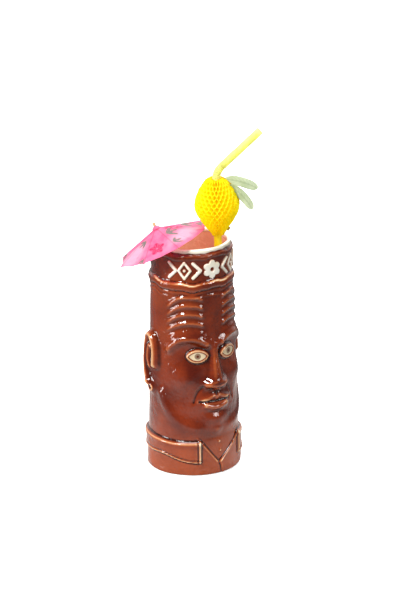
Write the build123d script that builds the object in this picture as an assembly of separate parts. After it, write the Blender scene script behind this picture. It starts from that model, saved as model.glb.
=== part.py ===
"""Tiki mug with its dressing: a slip-cast face mug, a cocktail umbrella that folds, and a
bendy straw that carries a honeycomb-paper lemon.

Units are millimetres. The origin is the centre of the mug's flat foot, +Z is up and the
face looks along -Y. One STEP file per node is written to parts/.
"""
from build123d import *
import os
from math import acos, atan2, cos, degrees, hypot, radians, sin, sqrt, tan

# ---- Mug -----------------------------------------------------------------
MUG_HEIGHT = 169.7          # the glaze on the lip brings this to 170
FOOT_RADIUS = 33.3          # wall radius at the foot, before the taper
LIP_RADIUS = 28.2           # outside of the lip, before its cream glaze
WALL = 3.6
FLOOR_THICKNESS = 6.0
LIP_THICKNESS = 2.4
GLAZE_COAT = 0.3
FOOT_BEVEL = 1.2
TAPER = (FOOT_RADIUS - 29.0) / 165.0
BORE_FOOT_RADIUS = FOOT_RADIUS - WALL
BORE_LIP_RADIUS = LIP_RADIUS - LIP_THICKNESS

# Hat band round the top of the mug: a plain panel between two rolled edges.
PANEL_LOW = 146.5
PANEL_HIGH = 163.0
PANEL_RADIUS = 29.2
ROLL_LOW_Z = 143.2
ROLL_LOW_RADIUS = 3.0
ROLL_HIGH_Z = 164.6
ROLL_HIGH_RADIUS = 1.6
GLAZE_BAND_HEIGHT = 2.6     # cream glaze drawn down over the lip

# Face, set out in thirds: hat edge to brow, brow to nose, nose to chin.
CHIN_Z = 36.0
FACE_THIRD = 32.0
NOSE_Z = CHIN_Z + FACE_THIRD
BROW_Z = NOSE_Z + FACE_THIRD
EYE_Z = BROW_Z - 9.0
EYE_ANGLE = 23.5            # each eye's bearing from straight ahead
EYEBALL_RADIUS = 12.0
EYEBALL_SUNK = 10.0         # its centre this far inside the wall
EYE_WIDTH = 12.6
EYE_HEIGHT = 6.6
MOUTH_Z = NOSE_Z - FACE_THIRD / 3
MOUTH_HALF_ANGLE = 21.0
EAR_ANGLE = 96.0
EAR_WIDTH = 12.0
EAR_PROUD = 4.4
EAR_TOP_Z = BROW_Z + 3.0
EAR_LOW_Z = NOSE_Z - 11.0

# Open-necked jacket round the foot.
JACKET_PROUD = 0.9
COLLAR_PROUD = 1.7
COLLAR_TOP = 27.0
COLLAR_BACK_LOW = 15.5
COLLAR_FLAP_LOW = 9.0
NECK_POINT_Z = 9.0
NECK_POINT_ANGLE = 1.6
NECK_LEFT_ANGLE = -21.0      # the opening is cut a little to one side
NECK_RIGHT_ANGLE = 38.0
FLAP_WIDTH_ANGLE = 56.0

# Raised cream motif on the hat band.
MOTIF_Z = (PANEL_LOW + PANEL_HIGH) / 2
MOTIF_PROUD = 1.1
MOTIF_GAP = 0.03

# ---- Straw ---------------------------------------------------------------
STRAW_RADIUS = 2.8
STRAW_WALL = 0.3
STRAW_FOOT = Vector(22.4, -6.0, FLOOR_THICKNESS)
STRAW_LEAN = 5.5
STRAW_LEAN_BEARING = -131.7
STRAW_TO_BEND = 218.5       # along the straw, from the foot to where the two axes cross
BEND_REACH = 6.0            # half the bellows, along each axis
MOUTH_LENGTH = 43.4
MOUTH_BEARING = -30.0
MOUTH_RISE = 43.4
BELLOWS_RADIUS = 3.0

# ---- Honeycomb lemon -----------------------------------------------------
LEMON_BASE = 170.1          # along the straw
LEMON_PROFILE = [(3.9, 0.0), (11.4, 11.6), (16.0, 24.0), (12.6, 35.6), (4.6, 44.2)]
LEMON_BORE = STRAW_RADIUS + 0.5
SECTORS = 8
CARD_BEARING = -30.0        # the seam between the two cards faces this way
CARD_THICKNESS = 0.4
CARD_GAP = 0.3
CARD_PROUD = 0.4
LEAF_THICKNESS = 0.3
SECTOR_GAP = 0.06
SEAM_SLOT = 2.0             # room in the tissue for both cards and both leaves

# ---- Cocktail umbrella ---------------------------------------------------
APEX = Vector(-23.37, 9.59, 179.19)
UMBRELLA_LEAN = 25.03
UMBRELLA_BEARING = 141.8    # the stick's top leans this way
RIBS = 8
CANOPY_RADIUS = 36.0
CANOPY_DROP = 12.7
CANOPY_SPIN = 19.6
PAPER = 0.2
STICK_RADIUS = 1.05
STICK_TOP = 4.0
STICK_BOTTOM = 88.0
STICK_POINT = 7.0
HUB_RADIUS = 1.7
HUB_TOP = 0.95
HUB_LENGTH = 2.6
RIB_PIVOT_RADIUS = 2.35
RIB_WIDTH = 0.9
RIB_THICKNESS = 0.5
RIB_DROP = 0.1              # clears the paper where it slopes away from the crease
STRUT_ALONG_RIB = 11.5
STRUT_WIDTH = 0.7
STRUT_THICKNESS = 0.5
STRUT_OFFSET = 0.95
STRUT_PIVOT_RADIUS = 2.3
STRUT_PIVOT_DEPTH = 8.0
RUNNER_RADIUS = 1.9
RUNNER_LENGTH = 2.5
SLIDE_CLEARANCE = 0.1
SLEEVE_RADIUS = 1.65
SLEEVE_LENGTH = 9.5
RING_RADIUS = 1.75
RING_LENGTH = 1.8


def polar(radius, bearing, z=0.0):
    """A point at a radius and bearing from the mug's axis, 0 being +X."""
    return Vector(radius * cos(radians(bearing)), radius * sin(radians(bearing)), z)


def face_point(radius, angle, z):
    """A point at an angle from straight ahead (-Y), positive towards +X."""
    return polar(radius, angle - 90.0, z)


def wall_radius(z):
    """Outside radius of the plain tapered wall."""
    return FOOT_RADIUS - TAPER * z


def at(point, shape):
    return Pos(point.X, point.Y, point.Z) * shape


def ball(point, radius, stretch=(1, 1, 1)):
    blob = Sphere(radius)
    if stretch != (1, 1, 1):
        blob = scale(blob, by=stretch)
    return at(point, blob)


def rod(start, end, radius, end_radius=None):
    """A round bar between two points, tapered if end_radius is given."""
    run = end - start
    plane = Plane(origin=start, z_dir=run)
    if end_radius is None or abs(end_radius - radius) < 1e-9:
        return Solid.make_cylinder(radius, run.length, plane)
    return Solid.make_cone(radius, end_radius, run.length, plane)


def ring_bead(radius, z, bead, half_angle):
    """Part of a ring of round section, centred straight ahead, with rounded ends."""
    start = -90.0 - half_angle
    section = Plane.XZ * Pos(radius, z) * Circle(bead)
    arc = Rot(0, 0, start) * revolve(section, Axis.Z, 2 * half_angle)
    ends = [ball(face_point(radius, side * half_angle, z), bead) for side in (-1, 1)]
    return arc + ends[0] + ends[1]


def band(inner, outer, low, high):
    """A plain ring wall."""
    height = high - low
    ring = Cylinder(outer, height) - Cylinder(inner, height + 1)
    return Pos(0, 0, (low + high) / 2) * ring


def radial_prism(sketch, angle, z, start=0.0, reach=60.0):
    """A sketch (across, up) pushed outward through the wall at an angle."""
    direction = face_point(1, angle, 0)
    origin = direction * start + Vector(0, 0, z)
    plane = Plane(origin=origin, x_dir=direction.rotate(Axis.Z, 90), z_dir=direction)
    return extrude(plane * sketch, reach)


# ---- Mug body ------------------------------------------------------------
def turned_wall():
    """The vessel itself: tapered outside, hat rolls, hollow inside."""
    low_roll_centre = PANEL_RADIUS - 1.6
    high_roll_centre = PANEL_RADIUS - 0.6
    with_lip = LIP_RADIUS - LIP_THICKNESS / 2
    outline = Polyline(
        (0, 0),
        (wall_radius(0) - FOOT_BEVEL, 0),
        (wall_radius(0), FOOT_BEVEL),
        (wall_radius(ROLL_LOW_Z), ROLL_LOW_Z),
        (PANEL_RADIUS, PANEL_LOW),
        (PANEL_RADIUS, PANEL_HIGH),
        (LIP_RADIUS, PANEL_HIGH + 3.0),
        (LIP_RADIUS, MUG_HEIGHT - LIP_THICKNESS / 2),
        (0, MUG_HEIGHT - LIP_THICKNESS / 2),
        close=True,
    )
    body = revolve(Plane.XZ * make_face(outline), Axis.Z)
    low_roll = revolve(Plane.XZ * Pos(low_roll_centre, ROLL_LOW_Z) * Circle(ROLL_LOW_RADIUS))
    high_roll = revolve(Plane.XZ * Pos(high_roll_centre, ROLL_HIGH_Z) * Circle(ROLL_HIGH_RADIUS))
    lip_z = MUG_HEIGHT - LIP_THICKNESS / 2
    lip = revolve(Plane.XZ * Pos(with_lip, lip_z) * Circle(LIP_THICKNESS / 2))
    return body + low_roll + high_roll + lip


def bore():
    """The room for the drink."""
    height = MUG_HEIGHT - FLOOR_THICKNESS
    outline = Polyline(
        (0, FLOOR_THICKNESS),
        (BORE_FOOT_RADIUS - 3, FLOOR_THICKNESS),
        (BORE_FOOT_RADIUS, FLOOR_THICKNESS + 3),
        (BORE_LIP_RADIUS, FLOOR_THICKNESS + height - LIP_THICKNESS / 2),
        (BORE_LIP_RADIUS, MUG_HEIGHT + 5),
        (0, MUG_HEIGHT + 5),
        close=True,
    )
    return revolve(Plane.XZ * make_face(outline), Axis.Z)


def nose():
    """A straight bridge that widens to a round tip and two wings."""
    bridge = rod(face_point(26.0, 0, BROW_Z - 2), face_point(31.0, 0, NOSE_Z + 4), 5.0, 7.0)
    tip = ball(face_point(33.2, 0, NOSE_Z + 5.0), 6.0)
    wings = [ball(face_point(31.0, side * 10.5, NOSE_Z + 3.6), 4.2) for side in (-1, 1)]
    return [bridge, tip, *wings]


def ear(side):
    """A long carved ear with a sunk bowl."""
    half_height = (EAR_TOP_Z - EAR_LOW_Z) / 2
    middle = Vector(wall_radius((EAR_TOP_Z + EAR_LOW_Z) / 2), 0, (EAR_TOP_Z + EAR_LOW_Z) / 2)
    shell = ball(middle, 1, (EAR_PROUD, EAR_WIDTH / 2, half_height))
    bowl_middle = middle + Vector(EAR_PROUD + 0.6, 0, half_height * 0.18)
    bowl = ball(bowl_middle, 1, (EAR_PROUD, EAR_WIDTH / 2 - 1.8, half_height * 0.62))
    return Rot(0, 0, side * EAR_ANGLE - 90) * (shell - bowl)


def neck_opening():
    """The V that the jacket leaves open over the chest."""
    radius = wall_radius(20) + COLLAR_PROUD
    point, left, right = (
        radius * sin(radians(angle))
        for angle in (NECK_POINT_ANGLE, NECK_LEFT_ANGLE, NECK_RIGHT_ANGLE)
    )
    outline = Polyline(
        (point, NECK_POINT_Z),
        (right, COLLAR_TOP - 1),
        (right, COLLAR_TOP + 6),
        (left, COLLAR_TOP + 6),
        (left, COLLAR_TOP - 1),
        close=True,
    )
    return radial_prism(make_face(outline), 0, 0)


def jacket():
    """Jacket, fold-down collar with its two flaps, and the front edge below the V."""
    coat = band(28, wall_radius(0) + JACKET_PROUD - 0.3, FOOT_BEVEL, COLLAR_TOP - 2)
    collar = band(28, wall_radius(20) + COLLAR_PROUD, COLLAR_BACK_LOW, COLLAR_TOP)
    outer = wall_radius(20) + COLLAR_PROUD
    section = Plane.XZ * Pos((28 + outer) / 2, (COLLAR_FLAP_LOW + COLLAR_BACK_LOW) / 2) * Rectangle(
        outer - 28, COLLAR_BACK_LOW - COLLAR_FLAP_LOW
    )
    flap = revolve(section, Axis.Z, FLAP_WIDTH_ANGLE)
    left_flap = Rot(0, 0, NECK_LEFT_ANGLE - FLAP_WIDTH_ANGLE - 90) * flap
    right_flap = Rot(0, 0, NECK_RIGHT_ANGLE - 90) * flap
    return (coat + collar + left_flap + right_flap) - neck_opening()


def face_relief():
    """Brow, nose, eyes, cheeks, lips, chin and ears, each a separate lump on the wall."""
    eye_depth = wall_radius(EYE_Z) - EYEBALL_SUNK
    lumps = [ring_bead(wall_radius(BROW_Z) - 1.2, BROW_Z, 3.6, 50), *nose()]
    for side in (-1, 1):
        lumps.append(ball(face_point(eye_depth, side * EYE_ANGLE, EYE_Z), EYEBALL_RADIUS))
        lumps.append(ball(face_point(22.5, side * 39, NOSE_Z + 1), 11.2))
        lumps.append(ear(side))
    lumps.append(ring_bead(wall_radius(MOUTH_Z) - 0.6, MOUTH_Z + 2.0, 2.3, MOUTH_HALF_ANGLE))
    lumps.append(ring_bead(wall_radius(MOUTH_Z) - 0.4, MOUTH_Z - 2.2, 2.5, MOUTH_HALF_ANGLE - 4))
    lumps.append(ball(face_point(25.6, 0, CHIN_Z + 6), 9.0))
    return lumps


def mug_body():
    body = turned_wall() + jacket()
    for lump in face_relief():
        grown = body + lump
        if grown.volume < body.volume:
            raise ValueError("a face lump was lost in the union")
        body = grown
    return body - bore()


def rim_glaze():
    """The cream glaze that caps the lip, a coat over its inside, top and outside."""
    coat = GLAZE_COAT
    lip_z = MUG_HEIGHT - LIP_THICKNESS / 2
    centre = LIP_RADIUS - LIP_THICKNESS / 2
    bead = LIP_THICKNESS / 2
    low = MUG_HEIGHT - GLAZE_BAND_HEIGHT
    over = Pos(centre, lip_z) * Circle(bead + coat) + Pos(centre, (lip_z + low) / 2) * Rectangle(
        2 * (bead + coat), lip_z - low
    )
    under = Pos(centre, lip_z) * Circle(bead + 0.02) + Pos(centre, (lip_z + low) / 2 - 1) * Rectangle(
        2 * (bead + 0.02), lip_z - low + 2
    )
    return revolve(Plane.XZ * (over - under), Axis.Z)


def eye_inlays():
    """The cream-glazed almond of each eye, a skin on the eyeball."""
    found = []
    for side in (-1, 1):
        centre = face_point(wall_radius(EYE_Z) - EYEBALL_SUNK, side * EYE_ANGLE, EYE_Z)
        skin = ball(centre, EYEBALL_RADIUS + 0.4) - ball(centre, EYEBALL_RADIUS + 0.02)
        half = EYE_WIDTH / 2
        almond = make_face(
            Wire(
                [
                    Edge.make_three_point_arc((-half, 0), (0, EYE_HEIGHT / 2), (half, 0)),
                    Edge.make_three_point_arc((half, 0), (0, -EYE_HEIGHT / 2), (-half, 0)),
                ]
            ).edges()
        )
        found.append(skin & radial_prism(almond, side * EYE_ANGLE, EYE_Z, start=28))
    return Compound(found)


def ring_diamond(height, width, stroke):
    outer = Polyline((0, height / 2), (width / 2, 0), (0, -height / 2), (-width / 2, 0), close=True)
    share = 1 - 2 * stroke * hypot(height, width) / (height * width)
    return make_face(outer) - scale(make_face(outer), by=share)


def chevron(height, width, stroke):
    """A bold V on its side, pointing to +X."""
    half = height / 2
    outline = Polyline(
        (-width / 2, half),
        (-width / 2 + stroke, half),
        (width / 2, 0),
        (-width / 2 + stroke, -half),
        (-width / 2, -half),
        (width / 2 - stroke * 1.3, 0),
        close=True,
    )
    return make_face(outline)


def rosette(radius, petals):
    """A flower of round petals about an open middle."""
    flower = Circle(radius * 0.42)
    for k in range(petals):
        flower += Rot(0, 0, 90 + 360 / petals * k) * Pos(radius * 0.62, 0) * Ellipse(radius * 0.38, radius * 0.27)
    return flower - Circle(radius * 0.17)


def hat_motif():
    """Raised cream shapes on the hat band: a rosette, chevrons and diamonds."""
    shell = band(PANEL_RADIUS + MOTIF_GAP, PANEL_RADIUS + MOTIF_PROUD, PANEL_LOW + 1, PANEL_HIGH - 1)
    pieces = [radial_prism(rosette(7.4, 6), 0, MOTIF_Z) & shell]
    for side in (-1, 1):
        arrow = chevron(13.0, 7.5, 3.0)
        if side > 0:
            arrow = mirror(arrow, Plane.YZ)
        pieces.append(radial_prism(arrow, side * 22.5, MOTIF_Z) & shell)
        pieces.append(radial_prism(ring_diamond(14.0, 10.5, 2.1), side * 40.0, MOTIF_Z) & shell)
        pieces.append(radial_prism(arrow, side * 57.0, MOTIF_Z) & shell)
    return Compound([solid for piece in pieces for solid in piece.solids()])


# ---- Straw ---------------------------------------------------------------
def lean_direction(lean, bearing):
    return Vector(
        sin(radians(lean)) * cos(radians(bearing)),
        sin(radians(lean)) * sin(radians(bearing)),
        cos(radians(lean)),
    )


STRAW_AXIS = lean_direction(STRAW_LEAN, STRAW_LEAN_BEARING)
BEND = STRAW_FOOT + STRAW_AXIS * STRAW_TO_BEND
MOUTH_AXIS = lean_direction(90 - MOUTH_RISE, MOUTH_BEARING)
STRAW_LIFT = STRAW_RADIUS * tan(radians(STRAW_LEAN)) + 0.05   # the cut end touches at one edge


def hose(start, end, radius, wall):
    return rod(start, end, radius) - rod(start - (end - start), end + (end - start), radius - wall)


def straw_lower_tube():
    start = STRAW_FOOT + STRAW_AXIS * STRAW_LIFT
    return hose(start, BEND - STRAW_AXIS * BEND_REACH, STRAW_RADIUS, STRAW_WALL)


def straw_mouth_tube():
    start = BEND + MOUTH_AXIS * BEND_REACH
    return hose(start, BEND + MOUTH_AXIS * MOUTH_LENGTH, STRAW_RADIUS, STRAW_WALL)


def straw_bellows():
    """The bent corrugated neck, as a plain bend between the two tubes."""
    start = BEND - STRAW_AXIS * (BEND_REACH - 0.05)
    end = BEND + MOUTH_AXIS * (BEND_REACH - 0.05)
    half_turn = radians(STRAW_AXIS.get_angle(MOUTH_AXIS)) / 2
    inward = (MOUTH_AXIS - STRAW_AXIS).normalized()
    radius = (BEND_REACH - 0.05) / tan(half_turn)
    middle = BEND + inward * (radius / cos(half_turn) - radius)
    path = Edge.make_three_point_arc(start, middle, end)
    section = Plane(origin=start, z_dir=STRAW_AXIS)
    return sweep(section * Circle(BELLOWS_RADIUS), path) - sweep(
        section * Circle(BELLOWS_RADIUS - 2 * STRAW_WALL), path
    )


# ---- Honeycomb lemon -----------------------------------------------------
def straw_frame(along, bearing):
    """Plane whose origin is on the straw, Z along it and X towards a bearing."""
    ahead = polar(1, bearing)
    side = (ahead - STRAW_AXIS * ahead.dot(STRAW_AXIS)).normalized()
    return Plane(origin=STRAW_FOOT + STRAW_AXIS * along, x_dir=side, z_dir=STRAW_AXIS)


LEMON_FRAME = straw_frame(LEMON_BASE, CARD_BEARING)
LEMON_TOP = LEMON_PROFILE[-1][1]


def lemon_outline(grow=0.0):
    """Half outline of the fruit in (out, up), from the bore to the skin."""
    skin = Spline([(r + grow, u) for r, u in LEMON_PROFILE])
    return make_face(
        [
            *skin.edges(),
            Edge.make_line(skin @ 1, (LEMON_BORE, LEMON_TOP)),
            Edge.make_line((LEMON_BORE, LEMON_TOP), (LEMON_BORE, 0)),
            Edge.make_line((LEMON_BORE, 0), skin @ 0),
        ]
    )


def honeycomb_sector(index):
    """One wedge of the tissue honeycomb, counted round from the seam between the cards."""
    step = 360 / SECTORS
    wedge = revolve(Plane.XZ * lemon_outline(), Axis.Z, step - 2 * SECTOR_GAP)
    wedge = Rot(0, 0, step * index + SECTOR_GAP) * wedge
    return LEMON_FRAME * (wedge - Pos(15, 0, 20) * Box(30, SEAM_SLOT, 60))


def card_plate(side):
    """A half-lemon card beside the seam, with the catch tab at its lower edge."""
    middle = side * (CARD_GAP + CARD_THICKNESS) / 2
    tab = Pos(7.9, 4.4) * Rot(0, 0, 52) * Rectangle(3.0, 1.6)
    outline = lemon_outline(CARD_PROUD) + tab
    return LEMON_FRAME * (Pos(0, middle, 0) * extrude(Plane.XZ * outline, CARD_THICKNESS / 2, both=True))


def leaf_plate(side, base, tip, over, under):
    """A pointed leaf between two arcs, on the outer face of its card."""
    blade = make_face(
        [
            Edge.make_three_point_arc(base, over, tip),
            Edge.make_three_point_arc(tip, under, base),
        ]
    )
    middle = side * (CARD_GAP / 2 + CARD_THICKNESS + 0.03 + LEAF_THICKNESS / 2)
    return LEMON_FRAME * (Pos(0, middle, 0) * extrude(Plane.XZ * blade, LEAF_THICKNESS / 2, both=True))


def leaf_upper():
    return leaf_plate(1, (5.5, 42.4), (29.4, 33.6), (19.6, 43.0), (15.5, 36.6))


def leaf_lower():
    return leaf_plate(-1, (8.6, 38.6), (25.2, 19.6), (22.0, 30.6), (16.0, 27.6))


# ---- Cocktail umbrella ---------------------------------------------------
STICK_AXIS = lean_direction(UMBRELLA_LEAN, UMBRELLA_BEARING)
SLOPE = degrees(atan2(CANOPY_DROP, CANOPY_RADIUS))
RIB_PIVOT_DEPTH = RIB_PIVOT_RADIUS * tan(radians(SLOPE)) + (
    PAPER + RIB_DROP + RIB_THICKNESS / 2
) / cos(radians(SLOPE))
RIB_LENGTH = CANOPY_RADIUS / cos(radians(SLOPE)) - RIB_PIVOT_RADIUS
STRUT_TOP_RADIUS = RIB_PIVOT_RADIUS + STRUT_ALONG_RIB * cos(radians(SLOPE))
STRUT_TOP_DEPTH = RIB_PIVOT_DEPTH + STRUT_ALONG_RIB * sin(radians(SLOPE))
STRUT_LENGTH = hypot(STRUT_TOP_RADIUS - STRUT_PIVOT_RADIUS, STRUT_PIVOT_DEPTH - STRUT_TOP_DEPTH)


def umbrella_frame():
    """Plane at the apex: Z up the stick, X level with the lean's uphill side."""
    ahead = polar(1, MOUTH_BEARING)
    side = (ahead - STICK_AXIS * ahead.dot(STICK_AXIS)).normalized()
    return Plane(origin=APEX, x_dir=side, z_dir=STICK_AXIS)


UMBRELLA = umbrella_frame()


def rib_bearing(index):
    return CANOPY_SPIN + 360 / RIBS * index


def on_rib(index, shape):
    """Turns a shape drawn along +X, down being -Z, to a rib's place."""
    return UMBRELLA * (Rot(0, 0, rib_bearing(index)) * shape)


def bar(start, end, width, thickness, offset=0.0):
    """A flat strip between two (radius, depth) points, shifted sideways by offset."""
    run = Vector(end[0] - start[0], 0, start[1] - end[1])
    plane = Plane(origin=(start[0], offset, -start[1]), x_dir=(0, 1, 0), z_dir=run)
    return extrude(plane * Rectangle(width, thickness), run.length)


def umbrella_rib(index):
    end = (
        RIB_PIVOT_RADIUS + RIB_LENGTH * cos(radians(SLOPE)) - 0.4,
        RIB_PIVOT_DEPTH + RIB_LENGTH * sin(radians(SLOPE)) - 0.14,
    )
    return on_rib(index, bar((RIB_PIVOT_RADIUS, RIB_PIVOT_DEPTH), end, RIB_WIDTH, RIB_THICKNESS))


def umbrella_strut(index):
    start = (STRUT_PIVOT_RADIUS, STRUT_PIVOT_DEPTH)
    end = (STRUT_TOP_RADIUS, STRUT_TOP_DEPTH)
    return on_rib(index, bar(start, end, STRUT_WIDTH, STRUT_THICKNESS, STRUT_OFFSET))


def canopy_gore(index):
    """The paper glued to one rib, reaching half way to its neighbours."""
    half = radians(180 / RIBS)
    inner = 1.35
    middle_radius = CANOPY_RADIUS * cos(half)
    top = -PAPER / cos(radians(SLOPE))
    gore = None
    for side in (-1, 1):
        inner_edge = Vector(inner * cos(half) * cos(half), side * inner * cos(half) * sin(half))
        outer_edge = Vector(middle_radius * cos(half), side * middle_radius * sin(half))
        drop = CANOPY_DROP / CANOPY_RADIUS
        rim_low = Vector(CANOPY_RADIUS, 0, -CANOPY_DROP)
        hub = Vector(inner, 0, -inner * drop)
        outer_low = Vector(outer_edge.X, outer_edge.Y, -CANOPY_DROP)
        inner_low = Vector(inner_edge.X, inner_edge.Y, -inner * drop)
        panel = Face(Wire.make_polygon([hub, rim_low, outer_low, inner_low]))
        plate = extrude(panel, -top, dir=(0, 0, -1))
        gore = plate if gore is None else gore + plate
    return on_rib(index, gore)


def tube_on_stick(low, high, radius):
    """A ring round the stick between two depths below the apex."""
    length = high - low
    ring = Cylinder(radius, length) - Cylinder(STICK_RADIUS + SLIDE_CLEARANCE, length + 1)
    return UMBRELLA * (Pos(0, 0, -(low + high) / 2) * ring)


def umbrella_stick():
    shaft = Pos(0, 0, (STICK_TOP - STICK_BOTTOM + STICK_POINT) / 2) * Cylinder(
        STICK_RADIUS, STICK_TOP + STICK_BOTTOM - STICK_POINT
    )
    point = Pos(0, 0, -STICK_BOTTOM + STICK_POINT / 2) * Cone(0.15, STICK_RADIUS, STICK_POINT)
    return UMBRELLA * (shaft + point)


def umbrella_top_hub():
    """The notched collar under the paper that holds the rib ends."""
    middle = Pos(0, 0, -(HUB_TOP + HUB_LENGTH / 2))
    hub = middle * Cylinder(HUB_RADIUS, HUB_LENGTH) - middle * Cylinder(STICK_RADIUS, HUB_LENGTH + 1)
    return UMBRELLA * hub


def umbrella_top_cap():
    """The little paper cone that covers the gores' inner ends."""
    bore_radius = STICK_RADIUS
    lift = 0.45
    rim = 3.1
    drop = CANOPY_DROP / CANOPY_RADIUS
    section = Polyline(
        (bore_radius, lift - bore_radius * drop),
        (rim, lift - rim * drop),
        (rim, lift - rim * drop + 0.3),
        (bore_radius, lift + 1.0),
        close=True,
    )
    return UMBRELLA * revolve(Plane.XZ * make_face(section), Axis.Z)


RUNNER_TOP = STRUT_PIVOT_DEPTH - 1.2
SLEEVE_TOP = RUNNER_TOP + RUNNER_LENGTH + 0.1
RING_TOP = SLEEVE_TOP + SLEEVE_LENGTH + 0.1


def write(name, shape):
    if shape.area <= 0:
        raise ValueError(name)
    export_step(shape, f"parts/{name}.step")


def main():
    os.makedirs("parts", exist_ok=True)
    write("mug_body", mug_body())
    write("rim_glaze", rim_glaze())
    write("hat_motif", hat_motif())
    write("eye_inlays", eye_inlays())
    write("straw_lower_tube", straw_lower_tube())
    write("straw_bellows", straw_bellows())
    write("straw_mouth_tube", straw_mouth_tube())
    write("lemon_card_back", card_plate(1))
    write("lemon_card_front", card_plate(-1))
    write("lemon_leaf_upper", leaf_upper())
    write("lemon_leaf_lower", leaf_lower())
    for index in range(SECTORS):
        write(f"honeycomb_sector_{index + 1}", honeycomb_sector(index))
    write("umbrella_stick", umbrella_stick())
    write("umbrella_top_hub", umbrella_top_hub())
    write("umbrella_top_cap", umbrella_top_cap())
    write("umbrella_runner", tube_on_stick(RUNNER_TOP, RUNNER_TOP + RUNNER_LENGTH, RUNNER_RADIUS))
    write("umbrella_paper_sleeve", tube_on_stick(SLEEVE_TOP, SLEEVE_TOP + SLEEVE_LENGTH, SLEEVE_RADIUS))
    write("umbrella_stop_ring", tube_on_stick(RING_TOP, RING_TOP + RING_LENGTH, RING_RADIUS))
    for index in range(RIBS):
        write(f"umbrella_rib_{index + 1}", umbrella_rib(index))
        write(f"umbrella_strut_{index + 1}", umbrella_strut(index))
        write(f"canopy_gore_{index + 1}", canopy_gore(index))


if __name__ == "__main__":
    main()
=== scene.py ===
"""Looks for the tiki mug, its cocktail umbrella, bendy straw and honeycomb lemon.

Lengths are in millimetres until a mesh is made. Angles on the mug are bearings from the
face (-Y), positive towards +X; "across" is that bearing times UNROLL, in millimetres.
"""

import math

import bpy
import numpy as np
from mathutils import Matrix, Vector

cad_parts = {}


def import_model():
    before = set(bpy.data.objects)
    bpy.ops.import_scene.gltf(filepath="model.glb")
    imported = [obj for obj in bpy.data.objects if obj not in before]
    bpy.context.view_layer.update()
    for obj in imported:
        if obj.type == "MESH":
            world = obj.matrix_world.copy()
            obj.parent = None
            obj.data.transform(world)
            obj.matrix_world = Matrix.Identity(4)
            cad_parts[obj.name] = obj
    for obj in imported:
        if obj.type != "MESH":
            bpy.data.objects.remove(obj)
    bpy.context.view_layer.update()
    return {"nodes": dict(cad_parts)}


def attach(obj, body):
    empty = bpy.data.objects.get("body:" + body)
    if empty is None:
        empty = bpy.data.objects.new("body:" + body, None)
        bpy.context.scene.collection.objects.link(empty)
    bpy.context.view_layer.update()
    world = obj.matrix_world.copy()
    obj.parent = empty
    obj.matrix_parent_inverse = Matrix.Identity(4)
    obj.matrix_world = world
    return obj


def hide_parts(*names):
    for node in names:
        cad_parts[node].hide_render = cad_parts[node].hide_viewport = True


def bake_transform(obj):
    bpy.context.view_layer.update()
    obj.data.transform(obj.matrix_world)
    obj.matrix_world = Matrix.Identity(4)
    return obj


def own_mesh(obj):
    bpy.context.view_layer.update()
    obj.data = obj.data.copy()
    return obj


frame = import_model()
rng = np.random.default_rng(7)
MM = 0.001
DEG = math.pi / 180

# ---- Sizes shared with the CAD -------------------------------------------
FOOT_RADIUS = 33.3
TAPER = (FOOT_RADIUS - 29.0) / 165.0
UNROLL = 31.0
PANEL_RADIUS = 29.2
LIP_CENTRE = 27.0
LIP_Z = 168.5
LIP_CLAY = 1.2           # the clay of the lip is a bead of this radius
LIP_GLAZE = 1.5          # and its glaze a bead of this one
INSIDE_TOP, INSIDE_LOW = 25.8, 29.7      # radius of the inside wall at the lip and near the floor
INSIDE_DEPTH = 159.5
FLOOR_TOP = 6.0
PANEL_MIDDLE = 154.75
COLLAR_TOP = 27.0
EAR_ACROSS = 96 * DEG * UNROLL
EYE_ACROSS, EYE_Z = 12.7, 91.0
EYE_HALF_WIDTH, EYE_HALF_HEIGHT = 6.3, 3.3
STRAW_RADIUS = 2.8
STRAW_WALL = 0.3
STRAW_LEAN = 5.5
STRAW_FOOT = np.array([22.4, -6.0, 6.0])
STRAW_TO_BEND = 218.5
BEND_REACH = 6.0
MOUTH_LENGTH = 43.4
BELLOWS_FOLDS = 8
LEMON_BASE = 170.1
LEMON_BORE = 3.3
APEX = np.array([-23.37, 9.59, 179.19])
CANOPY_RADIUS = 36.0
CANOPY_DROP = 12.7
CANOPY_SPIN = 19.6
CANOPY_HOLE = 1.4        # the paper starts this far from the stick
SECTORS = 8              # wedges of the lemon
GORES = 8                # panels of the canopy
PAPER_THICK, FILM_THICK = 0.12, 0.15
RIGHT_BEARING = -30.0    # the camera's right, the straw's mouth and the lemon's seam point this way


def lean(angle, bearing):
    """Unit vector this far from upright, towards a bearing counted from +X to +Y."""
    a, b = angle * DEG, bearing * DEG
    return np.array([math.sin(a) * math.cos(b), math.sin(a) * math.sin(b), math.cos(a)])


def unit(v):
    return v / np.linalg.norm(v)


def side_frame(up, bearing):
    """Two axes square to up, the first as near as it can be to a level bearing."""
    ahead = lean(90, bearing)
    x = unit(ahead - up * ahead.dot(up))
    return x, np.cross(up, x)


STRAW_AXIS = lean(STRAW_LEAN, -131.7)
MOUTH_AXIS = lean(90 - 43.4, RIGHT_BEARING)
BEND = STRAW_FOOT + STRAW_AXIS * STRAW_TO_BEND
LEMON_X, LEMON_Y = side_frame(STRAW_AXIS, RIGHT_BEARING)
LEMON_ORIGIN = STRAW_FOOT + STRAW_AXIS * LEMON_BASE
STICK_AXIS = lean(25.03, 141.8)
CANOPY_X, CANOPY_Y = side_frame(STICK_AXIS, RIGHT_BEARING)


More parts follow.
